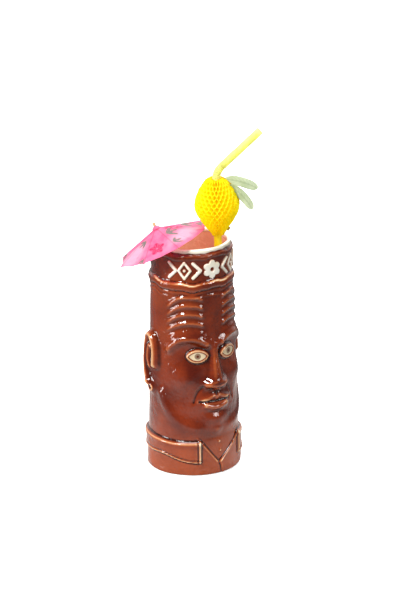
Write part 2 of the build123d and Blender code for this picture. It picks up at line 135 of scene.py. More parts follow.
# ---- Node helpers --------------------------------------------------------
class Mat:
    """A node material built up from small calls."""

    def __init__(self, name, base, **sockets):
        self.data = bpy.data.materials.new(name)
        self.data.use_nodes = True
        self.tree = self.data.node_tree
        self.shader = self.tree.nodes["Principled BSDF"]
        self.out = self.tree.nodes["Material Output"]
        sockets["Base_Color"] = (*base, 1.0)
        for key, value in sockets.items():
            self.shader.inputs[key.replace("_", " ")].default_value = value

    def node(self, kind, **props):
        node = self.tree.nodes.new("ShaderNode" + kind)
        for key, value in props.items():
            setattr(node, key, value)
        return node

    def link(self, a, b):
        self.tree.links.new(a, b)

    def attr(self, name):
        node = self.node("Attribute")
        node.attribute_name = name
        return node.outputs["Fac"]

    def height(self):
        """Height above the table, in metres."""
        split = self.node("SeparateXYZ")
        self.link(self.node("TexCoord").outputs["Object"], split.inputs[0])
        return split.outputs["Z"]

    def noise(self, scale, detail=4.0, rough=0.5, stretch=None):
        node = self.node("TexNoise")
        node.inputs["Scale"].default_value = scale
        node.inputs["Detail"].default_value = detail
        node.inputs["Roughness"].default_value = rough
        coord = self.node("TexCoord").outputs["Object"]
        if stretch:
            mapping = self.node("Mapping")
            mapping.inputs["Scale"].default_value = stretch
            self.link(coord, mapping.inputs["Vector"])
            coord = mapping.outputs["Vector"]
        self.link(coord, node.inputs["Vector"])
        return node.outputs["Fac"]

    def math(self, op, a, b=0.0, clamp=False):
        node = self.node("Math", operation=op, use_clamp=clamp)
        for socket, value in zip(node.inputs, (a, b)):
            if isinstance(value, (int, float)):
                socket.default_value = value
            else:
                self.link(value, socket)
        return node.outputs[0]

    def span(self, fac, low, high):
        """0 at low, 1 at high, smooth between."""
        node = self.node("MapRange", interpolation_type="SMOOTHSTEP")
        self.link(fac, node.inputs["Value"])
        node.inputs["From Min"].default_value = low
        node.inputs["From Max"].default_value = high
        return node.outputs["Result"]

    def mix(self, fac, a, b):
        node = self.node("Mix", data_type="RGBA")
        for socket, value in ((node.inputs[0], fac), (node.inputs[6], a), (node.inputs[7], b)):
            if isinstance(value, (int, float)):
                socket.default_value = value
            elif isinstance(value, tuple):
                socket.default_value = (*value[:3], 1.0)
            else:
                self.link(value, socket)
        return node.outputs[2]

    def color(self, socket):
        self.link(socket, self.shader.inputs["Base Color"])
        return self

    def rough(self, socket):
        self.link(socket, self.shader.inputs["Roughness"])
        return self

    def bump(self, height, distance, strength=1.0):
        node = self.node("Bump")
        node.inputs["Strength"].default_value = strength
        node.inputs["Distance"].default_value = distance
        self.link(height, node.inputs["Height"])
        self.link(node.outputs["Normal"], self.shader.inputs["Normal"])
        return self

    def thin_sheet(self, color, share):
        """Lets part of the light through, as tissue or glassine does."""
        glow = self.node("BsdfTranslucent")
        if isinstance(color, tuple):
            glow.inputs["Color"].default_value = (*color, 1.0)
        else:
            self.link(color, glow.inputs["Color"])
        both = self.node("MixShader")
        both.inputs[0].default_value = share
        self.link(self.shader.outputs[0], both.inputs[1])
        self.link(glow.outputs[0], both.inputs[2])
        self.link(both.outputs[0], self.out.inputs["Surface"])
        return self


def rgb(r, g, b):
    """Screen colour, 0 to 255, as the linear value a shader wants."""
    return tuple((c / 255 / 12.92) if c <= 10 else ((c / 255 + 0.055) / 1.055) ** 2.4 for c in (r, g, b))


# ---- Mesh helpers --------------------------------------------------------
def mesh_object(name, verts, faces, material, attrs=None):
    mesh = bpy.data.meshes.new(name)
    mesh.from_pydata((np.asarray(verts) * MM).tolist(), [], faces)
    mesh.update()
    mesh.shade_smooth()
    for key, values in (attrs or {}).items():
        layer = mesh.attributes.new(key, "FLOAT", "POINT")
        layer.data.foreach_set("value", np.asarray(values, dtype=np.float32))
    obj = bpy.data.objects.new(name, mesh)
    bpy.context.collection.objects.link(obj)
    mesh.materials.append(material.data)
    return obj


def thicken(obj, label, thickness):
    """Gives a sheet its thickness, half on each side."""
    solid = obj.modifiers.new(label, "SOLIDIFY")
    solid.thickness = thickness * MM
    solid.offset = 0
    return obj


def grid_faces(rows, cols, wrap=False, start=0):
    """Quads of a grid of points; wrap joins the last column to the first."""
    faces = []
    last = cols if wrap else cols - 1
    for i in range(rows - 1):
        a, b = start + i * cols, start + (i + 1) * cols
        for j in range(last):
            k = (j + 1) % cols
            faces.append((a + j, a + k, b + k, b + j))
    return faces


def tube(name, points, radii, wall, material, sides=32):
    """A pipe along points: outside out, inside back, with a flat ring at each end."""
    points = np.asarray(points, float)
    radii = np.broadcast_to(radii, len(points)).astype(float)
    runs = np.gradient(points, axis=0)
    side = unit(np.cross(runs[0], (0.3, 0.9, 0.1)))
    rings = []
    for outside in (True, False):
        ring = []
        s = side
        for p, r, d in zip(points, radii, runs):
            d = unit(d)
            s = unit(s - d * s.dot(d))
            q = np.cross(d, s)
            a = np.linspace(0, 2 * math.pi, sides, endpoint=False)[:, None]
            w = r if outside else r - wall
            ring.append(p + w * (np.cos(a) * s + np.sin(a) * q))
        rings.append(ring)
    loops = rings[0] + rings[1][::-1] + [rings[0][0]]
    verts = np.concatenate(loops[:-1])
    faces = grid_faces(len(loops) - 1, sides, wrap=True)
    end = (len(loops) - 2) * sides
    faces += [(end + j, end + (j + 1) % sides, (j + 1) % sides, j) for j in range(sides)]
    return mesh_object(name, verts, faces, material)


def sstep(low, high, x):
    """0 at low, 1 at high, smooth between; falling where low is above high."""
    t = np.clip((x - low) / (high - low), 0, 1)
    return t * t * (3 - 2 * t)


def lump(U, Z, u, z, ru, rz, power=2.0):
    """A smooth mound of height 1 at (u, z), flatter on top as power grows."""
    return np.exp(-(((U - u) / ru) ** 2 + ((Z - z) / rz) ** 2) ** (power / 2))


def curve(*points, n=6):
    """A smooth run of points through the given ones."""
    p = [np.array(q, float) for q in points]
    p = [2 * p[0] - p[1], *p, 2 * p[-1] - p[-2]]
    out = []
    for a, b, c, d in zip(p, p[1:], p[2:], p[3:]):
        for t in np.linspace(0, 1, n, endpoint=False):
            square, cube = (2 * a - 5 * b + 4 * c - d) * t**2, (3 * b - a - 3 * c + d) * t**3
            out.append(0.5 * (2 * b + (c - a) * t + square + cube))
    return np.array(out + [p[-2]])


def near(U, Z, points):
    """Distance to a polyline, and how far along it the nearest point is, 0 to 1."""
    best = np.full(U.shape, 1e9)
    along = np.zeros(U.shape)
    count = len(points) - 1
    points = np.asarray(points, float)
    low, high = points.min(0) - 12, points.max(0) + 12
    close = (U > low[0]) & (U < high[0]) & (Z > low[1]) & (Z < high[1])
    u, z, b2, al = U[close], Z[close], best[close], along[close]
    for k, (a, b) in enumerate(zip(points, points[1:])):
        d = b - a
        t = np.clip(((u - a[0]) * d[0] + (z - a[1]) * d[1]) / max(d.dot(d), 1e-9), 0, 1)
        dist = np.hypot(u - a[0] - t * d[0], z - a[1] - t * d[1])
        closer = dist < b2
        b2 = np.where(closer, dist, b2)
        al = np.where(closer, (k + t) / count, al)
    best[close], along[close] = b2, al
    return best, along


def ridge(U, Z, points, width, height, ends=0.18):
    """A soft raised line that fades at both ends."""
    d, t = near(U, Z, points)
    fade = sstep(0, ends, t) * sstep(0, ends, 1 - t) if ends else 1.0
    return height * np.exp(-((d / width) ** 2)) * fade


def both_sides(fn, U, Z):
    return fn(U, Z) + fn(-U, Z)


# ---- The mug's relief ----------------------------------------------------
def almond(du, dz):
    """Signed distance to an eye's outline, negative inside."""
    big = (EYE_HALF_WIDTH**2 + EYE_HALF_HEIGHT**2) / (2 * EYE_HALF_HEIGHT)
    off = big - EYE_HALF_HEIGHT
    return np.maximum(np.hypot(du, dz + off), np.hypot(du, dz - off)) - big


def half_face(U, Z):
    """Brow, eye, cheek, lips' side, jaw and ear of the +X half."""
    eye = almond(U - EYE_ACROSS, Z - EYE_Z)
    socket = -1.5 * lump(U, Z, EYE_ACROSS, EYE_Z, 10, 7)
    ball = 2.6 * np.sqrt(np.clip(1 - ((U - EYE_ACROSS) / 8.4) ** 2 - ((Z - EYE_Z) / 5.6) ** 2, 0, 1))
    lids = 1.15 * np.exp(-(((eye - 0.9) / 1.0) ** 2)) * sstep(11, 8, abs(U - EYE_ACROSS))
    brow = ridge(U, Z, curve((3.2, 95), (7, 100.5), (15, 104), (25, 103), (33, 97), (36, 90)), 3.3, 3.0)
    brow += ridge(U, Z, curve((5, 106), (15, 109), (27, 107.5), (37, 101)), 2.0, 0.9)
    bands = sum(
        ridge(U, Z, curve((6, z - 3), (14, z), (26, z - 1), (39, z - 8 - k)), 1.7, 1.3)
        for k, z in enumerate((115.5, 122.0, 128.5, 135.0))
    )
    cheek = 2.6 * lump(U, Z, 22, 74, 9.5, 9) - 0.5 * lump(U, Z, 26, 58, 6, 7)
    fold = -0.9 * np.exp(-((near(U, Z, curve((9.5, 68), (13.5, 63), (16, 56)))[0] / 1.3) ** 2))
    wing = 3.4 * lump(U, Z, 6.6, 70.0, 3.4, 3.2)
    nostril = -1.5 * lump(U, Z, 4.0, 65.9, 1.9, 1.1)
    jaw = ridge(U, Z, curve((44, 66), (37, 52), (26, 40.5), (12, 35.5), (-6, 34.5)), 4.0, 1.5, ends=0.1)
    u = U - EAR_ACROSS
    helix_line = curve((-6, 76), (-6.2, 92), (-2.5, 101.5), (3.5, 101), (5.6, 90), (4.2, 75), (0.5, 63))
    helix = ridge(u, Z, helix_line, 2.5, 4.4, ends=0.05)
    inner = ridge(u, Z, curve((-1.8, 91), (1.2, 93.5), (1.8, 84), (-1.2, 74)), 1.5, 2.0)
    bowl = 1.6 * lump(u, Z, 0, 82, 7.5, 21, 4) + 1.8 * lump(u, Z, -0.8, 62.5, 4.6, 5.2, 4)
    plug = 1.1 * np.exp(-(((np.hypot(u + 0.8, Z - 62.3) - 2.4) / 0.8) ** 2))
    ear = helix + inner + bowl + plug
    return socket + ball + lids + brow + bands + cheek + fold + wing + nostril + jaw + ear


def face(U, Z):
    rise = np.interp(Z, (63.5, 66, 69, 72, 78, 88, 96, 101), (0, 3.6, 6.3, 6.7, 5.4, 3.6, 2.4, 0.6))
    wide = np.interp(Z, (64, 68, 72, 80, 90, 100), (4.6, 5.4, 5.6, 4.2, 3.1, 3.4))
    nose = rise * np.exp(-((abs(U) / wide) ** 2.6))
    muzzle = 1.7 * lump(U, Z, 0, 56.5, 15, 10)
    bow = curve((-12.5, 56.6), (-6.5, 59.0), (-2.2, 60.6), (0, 59.9), (2.2, 60.6), (6.5, 59.0), (12.5, 56.6))
    lips = ridge(U, Z, bow, 2.0, 1.9, ends=0.12)
    low_lip = curve((-10.5, 55.0), (-5, 52.6), (0, 51.9), (5, 52.6), (10.5, 55.0))
    lips += ridge(U, Z, low_lip, 2.5, 2.3, ends=0.15)
    closed = curve((-13, 56.2), (-6, 56.5), (0, 56.1), (6, 56.5), (13, 56.2))
    lips -= ridge(U, Z, closed, 0.8, 1.7, ends=0.05)
    philtrum = -0.6 * lump(U, Z, 0, 62.6, 1.2, 2.0)
    chin = 2.8 * lump(U, Z, 0, 42.5, 8.5, 5.0) - 0.5 * lump(U, Z, 0, 48.5, 6, 1.6)
    return nose + muzzle + lips + philtrum + chin + both_sides(half_face, U, Z)


NECK_POINT = (0.9, 9.2)
NECK_LEFT = -21.0 * DEG * UNROLL
NECK_RIGHT = 38.0 * DEG * UNROLL


def neck_distance(U, Z):
    """Signed distance into the open V of the jacket, positive inside."""
    def side(corner):
        du, dz = corner[0] - NECK_POINT[0], corner[1] - NECK_POINT[1]
        turn = math.copysign(1, du)
        return turn * ((Z - NECK_POINT[1]) * du - (U - NECK_POINT[0]) * dz) / math.hypot(du, dz)
    return np.minimum(side((NECK_LEFT, 26.5)), side((NECK_RIGHT, 26.0)))


def jacket(U, Z):
    wave = 0.5 * np.sin(U / 7.0) + 0.35 * np.sin(U / 3.1 + 1)
    v = neck_distance(U, Z)
    cloth = sstep(0.35, -0.35, v)
    top = COLLAR_TOP + 0.8 * np.sin(U / 11 + 0.6) + 0.2 * wave
    coat = 0.9 * sstep(top, top - 1.4, Z)
    a = abs(U - (NECK_LEFT + NECK_RIGHT) / 2)
    reach = (NECK_RIGHT - NECK_LEFT) / 2
    flap = sstep(reach + 30.6, reach + 29.8, a)
    low = 15.5 - 5.6 * flap * sstep(reach + 31, reach + 2, a) + 0.25 * wave
    end = a - reach
    collar = sstep(low - 0.5, low + 0.5, Z) * sstep(top + 0.4, top - 1.6, Z) * sstep(-0.2, 0.4, end)
    roll = 0.7 * np.exp(-(((Z - top + 2.4) / 1.9) ** 2))
    stitch = np.exp(-(((Z - low - 1.6) / 0.5) ** 2)) + np.exp(-(((end - 2.1) / 0.5) ** 2))
    hem = np.exp(-(((Z - low - 0.6) / 0.6) ** 2)) + np.exp(-(((end - 0.9) / 0.6) ** 2))
    proud = coat + collar * (1.15 + roll + 0.5 * hem - 0.7 * stitch)
    proud = proud + 0.5 * np.exp(-(((v + 0.7) / 0.8) ** 2)) * sstep(7, 11, Z)
    front = near(U, Z, curve(NECK_POINT, (2.2, 5), (3.2, 0)))[0]
    proud = proud + 0.55 * sstep(0, 1.2, U - 2) * np.exp(-((front / 2.2) ** 2))
    proud = proud - 0.8 * np.exp(-((front / 0.55) ** 2))
    folds = 0.45 * np.sin(U / 4.6 + Z / 9) * sstep(14, 9, Z) * sstep(1, 5, Z)
    shirt = 0.3 * sstep(0.2, 1.0, v) * sstep(top + 2, top - 2, Z)
    studs = sum(0.8 * lump(U, Z, *p, 1.0, 1.0, 4) for p in ((2.6, 17.5), (2.0, 24.5)))
    return (proud + folds * cloth) * cloth + (shirt + studs) * (1 - cloth)


def roll_line(t):
    """Height of the lower roll of the hat band at bearing t."""
    return 143.2 + 0.75 * np.sin(3 * t + 0.4) + 0.55 * np.sin(8 * t + 2.0) + 0.25 * np.sin(15 * t)


def hat(U, Z):
    """The two wavy rolls of the hat band, and the crumple of the panel between them."""
    t = U / UNROLL
    low = roll_line(t)
    high = 164.6 + 0.55 * np.sin(4 * t + 1.0) + 0.5 * np.sin(9 * t) + 0.2 * np.sin(17 * t + 2)
    roll = 1.5 * np.sqrt(np.clip(1 - ((Z - low) / 3.1) ** 2, 0, 1))
    roll += 0.5 * np.exp(-(((Z - low + 4.6) / 1.0) ** 2))
    brim = 1.0 * np.sqrt(np.clip(1 - ((Z - high) / 2.2) ** 2, 0, 1))
    brim = brim + 0.35 * np.exp(-(((Z - high + 3.2) / 0.8) ** 2))
    crumple = 0.25 * np.sin(Z / 1.9 + 2.4 * np.sin(t * 5)) * sstep(-46, -58, U)
    crumple = crumple * sstep(147, 150, Z) * sstep(163, 160, Z)
    lines = 0.45 * np.exp(-(((Z - low + 8.2 + 0.8 * np.sin(5 * t)) / 0.8) ** 2))
    return roll + brim * sstep(168.4, 166.4, Z) + crumple + lines


def relief(U, Z):
    quiet = sstep(138.5, 134, Z) * sstep(27.5, 30, Z)
    casting = 0.10 * np.sin(U / 5.3 + 1.7 * np.sin(Z / 13)) * np.sin(Z / 7.1 + U / 17)
    return face(U, Z) * quiet + jacket(U, Z) * sstep(31, 28, Z) + hat(U, Z) * sstep(132, 136, Z) + casting


def wrap(U):
    half = math.pi * UNROLL
    return (U + half) % (2 * half) - half


def outer_radius(U, Z):
    base = FOOT_RADIUS - TAPER * Z
    panel = sstep(145, 147, Z) * (PANEL_RADIUS - 0.15 - base)
    shoulder = sstep(165.0, 167.2, Z) * (LIP_CENTRE + LIP_CLAY - PANEL_RADIUS)
    return base + panel + shoulder + relief(wrap(U), Z)


def on_mug(theta, radius, Z):
    return np.stack([radius * np.sin(theta), -radius * np.cos(theta), Z], -1)


def mug_material():
    m = Mat("brown_glaze", rgb(120, 42, 16), Roughness=0.07, Coat_Weight=0.5, Coat_Roughness=0.02, IOR=1.48)
    thin, inside, bare = m.attr("thin"), m.attr("inside"), m.attr("bare")
    drift, cloud = m.noise(38, 5, 0.55), m.noise(16, 2, 0.5)
    fine = m.noise(420, 3, 0.6)
    body = m.mix(m.span(drift, 0.35, 0.65), rgb(86, 22, 7), rgb(128, 46, 18))
    body = m.mix(m.span(cloud, 0.45, 0.75), body, rgb(152, 66, 28))
    # Painted light: the glaze is made lighter and more orange over the bottom 45 mm, a painted reflection of
    # the bright floor.
    low = m.span(m.height(), 0.045, 0.005)
    body = m.mix(m.math("MULTIPLY", low, 0.6), body, rgb(176, 80, 36))
    edge = m.math("ADD", thin, m.math("MULTIPLY", m.math("SUBTRACT", fine, 0.5), 0.14))
    body = m.mix(m.span(edge, -0.04, -0.45), body, rgb(58, 14, 5))
    body = m.mix(m.span(edge, 0.10, 0.40), body, rgb(172, 84, 42))
    body = m.mix(m.span(edge, 0.36, 0.80), body, rgb(228, 180, 132))
    body = m.mix(m.span(edge, 0.85, 1.15), body, rgb(246, 226, 190))
    lining = m.mix(m.span(drift, 0.3, 0.7), rgb(232, 186, 160), rgb(244, 204, 178))
    clay = m.mix(fine, rgb(196, 150, 112), rgb(222, 180, 142))
    m.color(m.mix(bare, m.mix(inside, body, lining), clay))
    # Painted light: the lining glows faintly through emission, to brighten the inside of the mug where the
    # lamps don't reach.
    m.shader.inputs["Emission Color"].default_value = (*rgb(230, 168, 136), 1)
    m.link(m.math("MULTIPLY", inside, 0.16), m.shader.inputs["Emission Strength"])
    m.rough(m.math("ADD", m.math("MULTIPLY", bare, 0.6), m.math("MULTIPLY", drift, 0.10)))
    ripple = m.math("ADD", m.noise(70, 3, 0.5), m.math("MULTIPLY", m.noise(230, 2), 0.7))
    return m.bump(ripple, 0.0014, 0.7)


def build_mug(material):
    """One skin, from the middle of the foot up the outside, over the lip and down to the floor."""
    front = np.linspace(-112, 112, 296)
    back = np.linspace(112, 248, 74)[1:-1]
    theta = np.concatenate([front, back]) * DEG
    U = wrap(theta * UNROLL)
    cols = len(theta)
    rows, flags = [], []

    def add(radius, z, inside=0.0, bare=0.0, thin=None):
        radius = np.broadcast_to(radius, cols)
        rows.append(on_mug(theta, radius, np.full(cols, z)))
        zero = np.zeros(cols)
        flags.append((zero if thin is None else thin, zero + inside, zero + bare))

    for r, z in ((6, 0.5), (18, 0.5), (26.5, 0.5), (27.4, 0.3), (27.9, 0.02), (30.5, 0.0), (32.0, 0.0)):
        add(r, z, bare=1.0)
    heights = np.concatenate([np.linspace(0.25, 166.9, 216), (167.6, LIP_Z)])
    UU, ZZ = np.meshgrid(U, heights)
    radii = outer_radius(UU, ZZ) - np.clip(1.4 - ZZ, 0, 9) ** 2 * 0.6
    around = [(math.cos(a), math.sin(a)) for a in np.linspace(0, 2 * math.pi, 6, endpoint=False)]
    ring = sum(relief(wrap(UU + 1.5 * c), ZZ + 1.5 * s) for c, s in around) / 6
    thin = relief(UU, ZZ) - ring
    bead = np.exp(-(((ZZ - roll_line(UU / UNROLL) - 1.9) / 0.55) ** 2))
    thin = thin + 1.2 * bead * sstep(44, 38, abs(UU + 8)) * (0.6 + 0.4 * np.sin(UU / 4.3))
    for k, z in enumerate(heights):
        add(radii[k], z, thin=thin[k], bare=float(z < 0.8))
    for a in np.linspace(15, 165, 9) * DEG:
        add(LIP_CENTRE + LIP_CLAY * math.cos(a), LIP_Z + LIP_CLAY * math.sin(a), thin=np.full(cols, 0.3))
    for z in np.linspace(LIP_Z, 10, 30):
        add(INSIDE_TOP + (LIP_Z - z) * (INSIDE_LOW - INSIDE_TOP) / INSIDE_DEPTH, z, inside=1.0)
    for r, z in ((29.2, 8.2), (28.4, 7.0), (26.7, 6.2), (22, FLOOR_TOP), (12, FLOOR_TOP), (4, FLOOR_TOP)):
        add(r, z, inside=1.0)
    verts = np.concatenate(rows)
    faces = grid_faces(len(rows), cols, wrap=True)
    first, last = len(verts), len(verts) + 1
    verts = np.concatenate([verts, [(0, 0, 0.5), (0, 0, FLOOR_TOP)]])
    top = (len(rows) - 1) * cols
    faces += [(first, (j + 1) % cols, j) for j in range(cols)]
    faces += [(last, top + j, top + (j + 1) % cols) for j in range(cols)]
    thin, inside, bare = (np.concatenate([f[k] for f in flags]) for k in range(3))
    attrs = {
        "thin": np.append(thin, (0, 0)),
        "inside": np.append(inside, (0, 1)),
        "bare": np.append(bare, (1, 0)),
    }
    return mesh_object("mug_casting", verts, faces, material, attrs=attrs)


def cream_material():
    m = Mat("cream_glaze", rgb(250, 240, 214), Roughness=0.12, Coat_Weight=0.5, Coat_Roughness=0.03, IOR=1.5)
    thin = m.attr("thin")
    spots = m.noise(650, 2, 0.7)
    base = m.mix(m.span(m.noise(70), 0.35, 0.7), rgb(255, 252, 238), rgb(250, 240, 214))
    base = m.mix(m.span(spots, 0.70, 0.78), base, rgb(176, 120, 76))
    return m.color(m.mix(thin, base, rgb(178, 112, 70))).bump(m.noise(160), 0.00015, 0.3)


def build_lip(material):
    """Cream glaze over the lip, with a wavy lower edge where it ran."""
    cols = 360
    theta = np.linspace(0, 2 * math.pi, cols, endpoint=False)
    drip = 0.35 * np.sin(5 * theta) + 0.25 * np.sin(11 * theta + 1) + 0.18 * np.sin(23 * theta + 2)
    rows, thin = [], []
    for share, sink in ((0, 0.4), (0.15, 0.12), (0.4, 0.02), (0.7, 0.0)):
        low = 167.0 + drip
        rows.append((LIP_CENTRE + LIP_GLAZE - sink, low + (LIP_Z - low) * share))
        thin.append(0.7 * (1 - share) ** 3)
    for a in np.linspace(0, 180, 15) * DEG:
        rows.append((LIP_CENTRE + LIP_GLAZE * math.cos(a), LIP_Z + LIP_GLAZE * math.sin(a)))
        thin.append(0)
    for share, sink in ((0.7, 0.0), (0.4, 0.02), (0.15, 0.12), (0, 0.4)):
        low = 166.6 + np.roll(drip, 90)
        rows.append((LIP_CENTRE - LIP_GLAZE + sink, low + (LIP_Z - low) * share))
        thin.append(0.7 * (1 - share) ** 3)
    verts = np.concatenate([on_mug(theta, np.full(cols, r), np.broadcast_to(z, cols)) for r, z in rows])
    attrs = {"thin": np.repeat(thin, cols)}
    return mesh_object("lip_glaze", verts, grid_faces(len(rows), cols, wrap=True), material, attrs=attrs)


def patch(sdf, centre, half_u, half_z, step, height, spread, unroll=UNROLL):
    """Raised shape on the mug: the cells inside sdf, their edge pulled on to its outline."""
    us = np.arange(-half_u, half_u + step, step)
    zs = np.arange(-half_z, half_z + step, step)
    U, Z = np.meshgrid(us, zs)
    nudge = 0.02
    for _ in range(3):
        d = sdf(U, Z)
        gu = (sdf(U + nudge, Z) - sdf(U - nudge, Z)) / (2 * nudge)
        gz = (sdf(U, Z + nudge) - sdf(U, Z - nudge)) / (2 * nudge)
        out = np.clip(d, 0, step * 1.2) * (d > 0) / np.maximum(np.hypot(gu, gz), 0.5)
        U, Z = U - gu * out, Z - gz * out
    start = sdf(*np.meshgrid(us, zs))
    inside = start < 0
    d = np.minimum(sdf(U, Z), 0)
    rise = height * np.sqrt(np.clip(1 - (1 - np.clip(-d / spread, 0, 1)) ** 2, 0, 1)) - 0.22
    across = centre[0] + U
    theta = across / unroll
    Zr = centre[1] + Z
    radius = outer_radius(theta * UNROLL, Zr) + rise
    verts = on_mug(theta, radius, Zr).reshape(-1, 3)
    cols = len(us)
    faces = []
    for i in range(len(zs) - 1):
        for j in range(cols - 1):
            if inside[i, j] or inside[i, j + 1] or inside[i + 1, j] or inside[i + 1, j + 1]:
                a = i * cols + j
                faces.append((a, a + 1, a + 1 + cols, a + cols))
    thin = np.exp(-(np.clip(-d, 0, 9) / 0.28)).reshape(-1)
    used = sorted({v for f in faces for v in f})
    index = {v: k for k, v in enumerate(used)}
    return verts[used], [tuple(index[v] for v in f) for f in faces], thin[used], used


def merged(name, parts, material):
    verts, faces, thin = [], [], []
    for v, f, t, _ in parts:
        base = sum(len(x) for x in verts)
        verts.append(v)
        faces += [tuple(base + i for i in q) for q in f]
        thin.append(t)
    return mesh_object(name, np.concatenate(verts), faces, material, attrs={"thin": np.concatenate(thin)})


def rosette(U, Z):
    r, a = np.hypot(U, Z), np.arctan2(Z, U)
    outer = (r - (5.3 + 1.9 * abs(np.cos(3 * (a - math.pi / 2))))) * 0.9
    return np.maximum(outer, 1.3 - r)


def chevron(turn):
    line = np.array([(-2.7 * turn, 5.4), (2.6 * turn, 0), (-2.7 * turn, -5.4)])
    return lambda U, Z: near(U, Z, line)[0] - 1.35


def diamond(U, Z):
    line = np.array([(0, 6.0), (4.3, 0), (0, -6.0), (-4.3, 0), (0, 6.0)])
    return np.minimum(near(U, Z, line)[0] - 1.05, np.hypot(U, Z) - 1.2)


def build_motif(material):
    """A rosette with chevrons and diamonds on both sides of it."""
    spots = [(rosette, 0.0, 7.8)]
    for side in (-1, 1):
        arrow = chevron(-side)
        spots += [(arrow, side * 22.5, 7.0), (diamond, side * 40.0, 7.4), (arrow, side * 57.0, 7.0)]
    parts = [
        patch(fn, (angle * DEG * PANEL_RADIUS, PANEL_MIDDLE), half, 7.6, 0.26, 1.35, 0.9, PANEL_RADIUS)
        for fn, angle, half in spots
    ]
    return merged("hat_motif_glaze", parts, material)


def eye_material():
    m = Mat("eye_glaze", rgb(236, 218, 178), Roughness=0.1, Coat_Weight=0.6, Coat_Roughness=0.02)
    cream = m.mix(m.noise(90), rgb(244, 230, 196), rgb(214, 186, 140))
    return m.color(m.mix(m.attr("thin"), cream, rgb(92, 34, 14))).bump(m.noise(200), 0.0001, 0.2)


def build_eyes(material):
    """Two almond skins of cream glaze, with a darker ring and centre for the iris."""
    half_u, half_z, step = 7.0, 4.2, 0.24
    parts = []
    for side in (-1, 1):
        v, f, thin, used = patch(almond, (side * EYE_ACROSS, EYE_Z), half_u, half_z, step, 0.34, 0.5)
        cols = len(np.arange(-half_u, half_u + step, step))
        du = -half_u + (np.array(used) % cols) * step
        dz = -half_z + (np.array(used) // cols) * step
        r = np.hypot(du, dz - 0.15)
        iris = sstep(2.35, 2.1, r) * 0.75 + sstep(1.0, 0.8, r) * 0.25
        parts.append((v, f, np.clip(thin * 0.9 + iris, 0, 1), used))
    return merged("eye_glaze_skins", parts, material)


# ---- Straw ---------------------------------------------------------------
def straw_material(name, one, two, share):
    m = Mat(name, one, Roughness=0.28, IOR=1.45, Transmission_Weight=0.25)
    streak = m.noise(60, 3, 0.5, stretch=(6, 6, 0.6))
    m.color(m.mix(m.span(streak, 0.3, 0.7), one, two)).bump(streak, 0.00005, 0.3)
    return m.thin_sheet(two, share)


def even_run(start, end, count):
    return [start + (end - start) * t for t in np.linspace(0, 1, count)]


def build_straw(material, pale):
    """The lower tube, the bellows round the bend, and the mouth tube."""
    start = STRAW_FOOT + STRAW_AXIS * (STRAW_RADIUS * math.tan(STRAW_LEAN * DEG) + 0.05)
    end = BEND - STRAW_AXIS * BEND_REACH
    lower = tube("straw_lower", even_run(start, end, 40), STRAW_RADIUS, STRAW_WALL, material)
    run = even_run(BEND + MOUTH_AXIS * BEND_REACH, BEND + MOUTH_AXIS * MOUTH_LENGTH, 12)
    mouth = tube("straw_mouth_piece", run, STRAW_RADIUS, STRAW_WALL, pale)
    half = math.acos(STRAW_AXIS.dot(MOUTH_AXIS)) / 2
    inward = unit(MOUTH_AXIS - STRAW_AXIS)
    turn = BEND_REACH / math.tan(half)
    centre = BEND + inward * turn / math.cos(half)
    normal = unit(np.cross(STRAW_AXIS, MOUTH_AXIS))
    first = BEND - STRAW_AXIS * BEND_REACH - centre
    points, radii = [], []
    for t in np.linspace(0, 1, 129):
        a = 2 * half * t
        v = first * math.cos(a) + np.cross(normal, first) * math.sin(a)
        points.append(centre + v)
        saw = abs((t * BELLOWS_FOLDS + 0.5) % 1 - 0.5) * 2
        radii.append(2.62 + 0.42 * saw * min(1, 10 * t, 10 * (1 - t)))
    neck = tube("straw_bellows_neck", points, radii, STRAW_WALL, pale, sides=40)
    return lower, neck, mouth


# ---- Honeycomb lemon -----------------------------------------------------
def lemon_radius(u):
    return np.interp(
        u,
        (0, 1.5, 5.8, 11.6, 17.3, 20.5, 23.5, 28.1, 35.1, 42.0, 44.2),
        (3.9, 4.4, 7.7, 11.6, 14.8, 15.8, 16.0, 15.3, 12.6, 8.0, 4.6),
    )


def lemon_point(r, angle, u):
    r, angle, u = np.broadcast_arrays(r, angle, u)
    return (
        LEMON_ORIGIN
        + (r * np.cos(angle))[..., None] * LEMON_X
        + (r * np.sin(angle))[..., None] * LEMON_Y
        + u[..., None] * STRAW_AXIS
    )


FINS_PER_SECTOR = 6
CELL_HALF_HEIGHT = 2.7


def tissue_material():
    # Painted light: the tissue glows a little through its emission, to keep it bright yellow.
    glow = (*rgb(255, 240, 20), 1.0)
    m = Mat("lemon_tissue", rgb(255, 226, 20), Roughness=0.75, Emission_Strength=0.27, Emission_Color=glow)
    cell_shade, fibre = m.attr("cell_shade"), m.noise(900, 3, 0.7)
    tint = m.mix(m.span(fibre, 0.3, 0.7), rgb(255, 248, 14), rgb(255, 252, 60))
    # Painted shade: the leaves darken towards the bore, deep inside the cells.
    tint = m.mix(cell_shade, tint, rgb(252, 222, 0))
    m.color(tint).bump(fibre, 0.00004, 0.4)
    return m.thin_sheet(tint, 0.68)


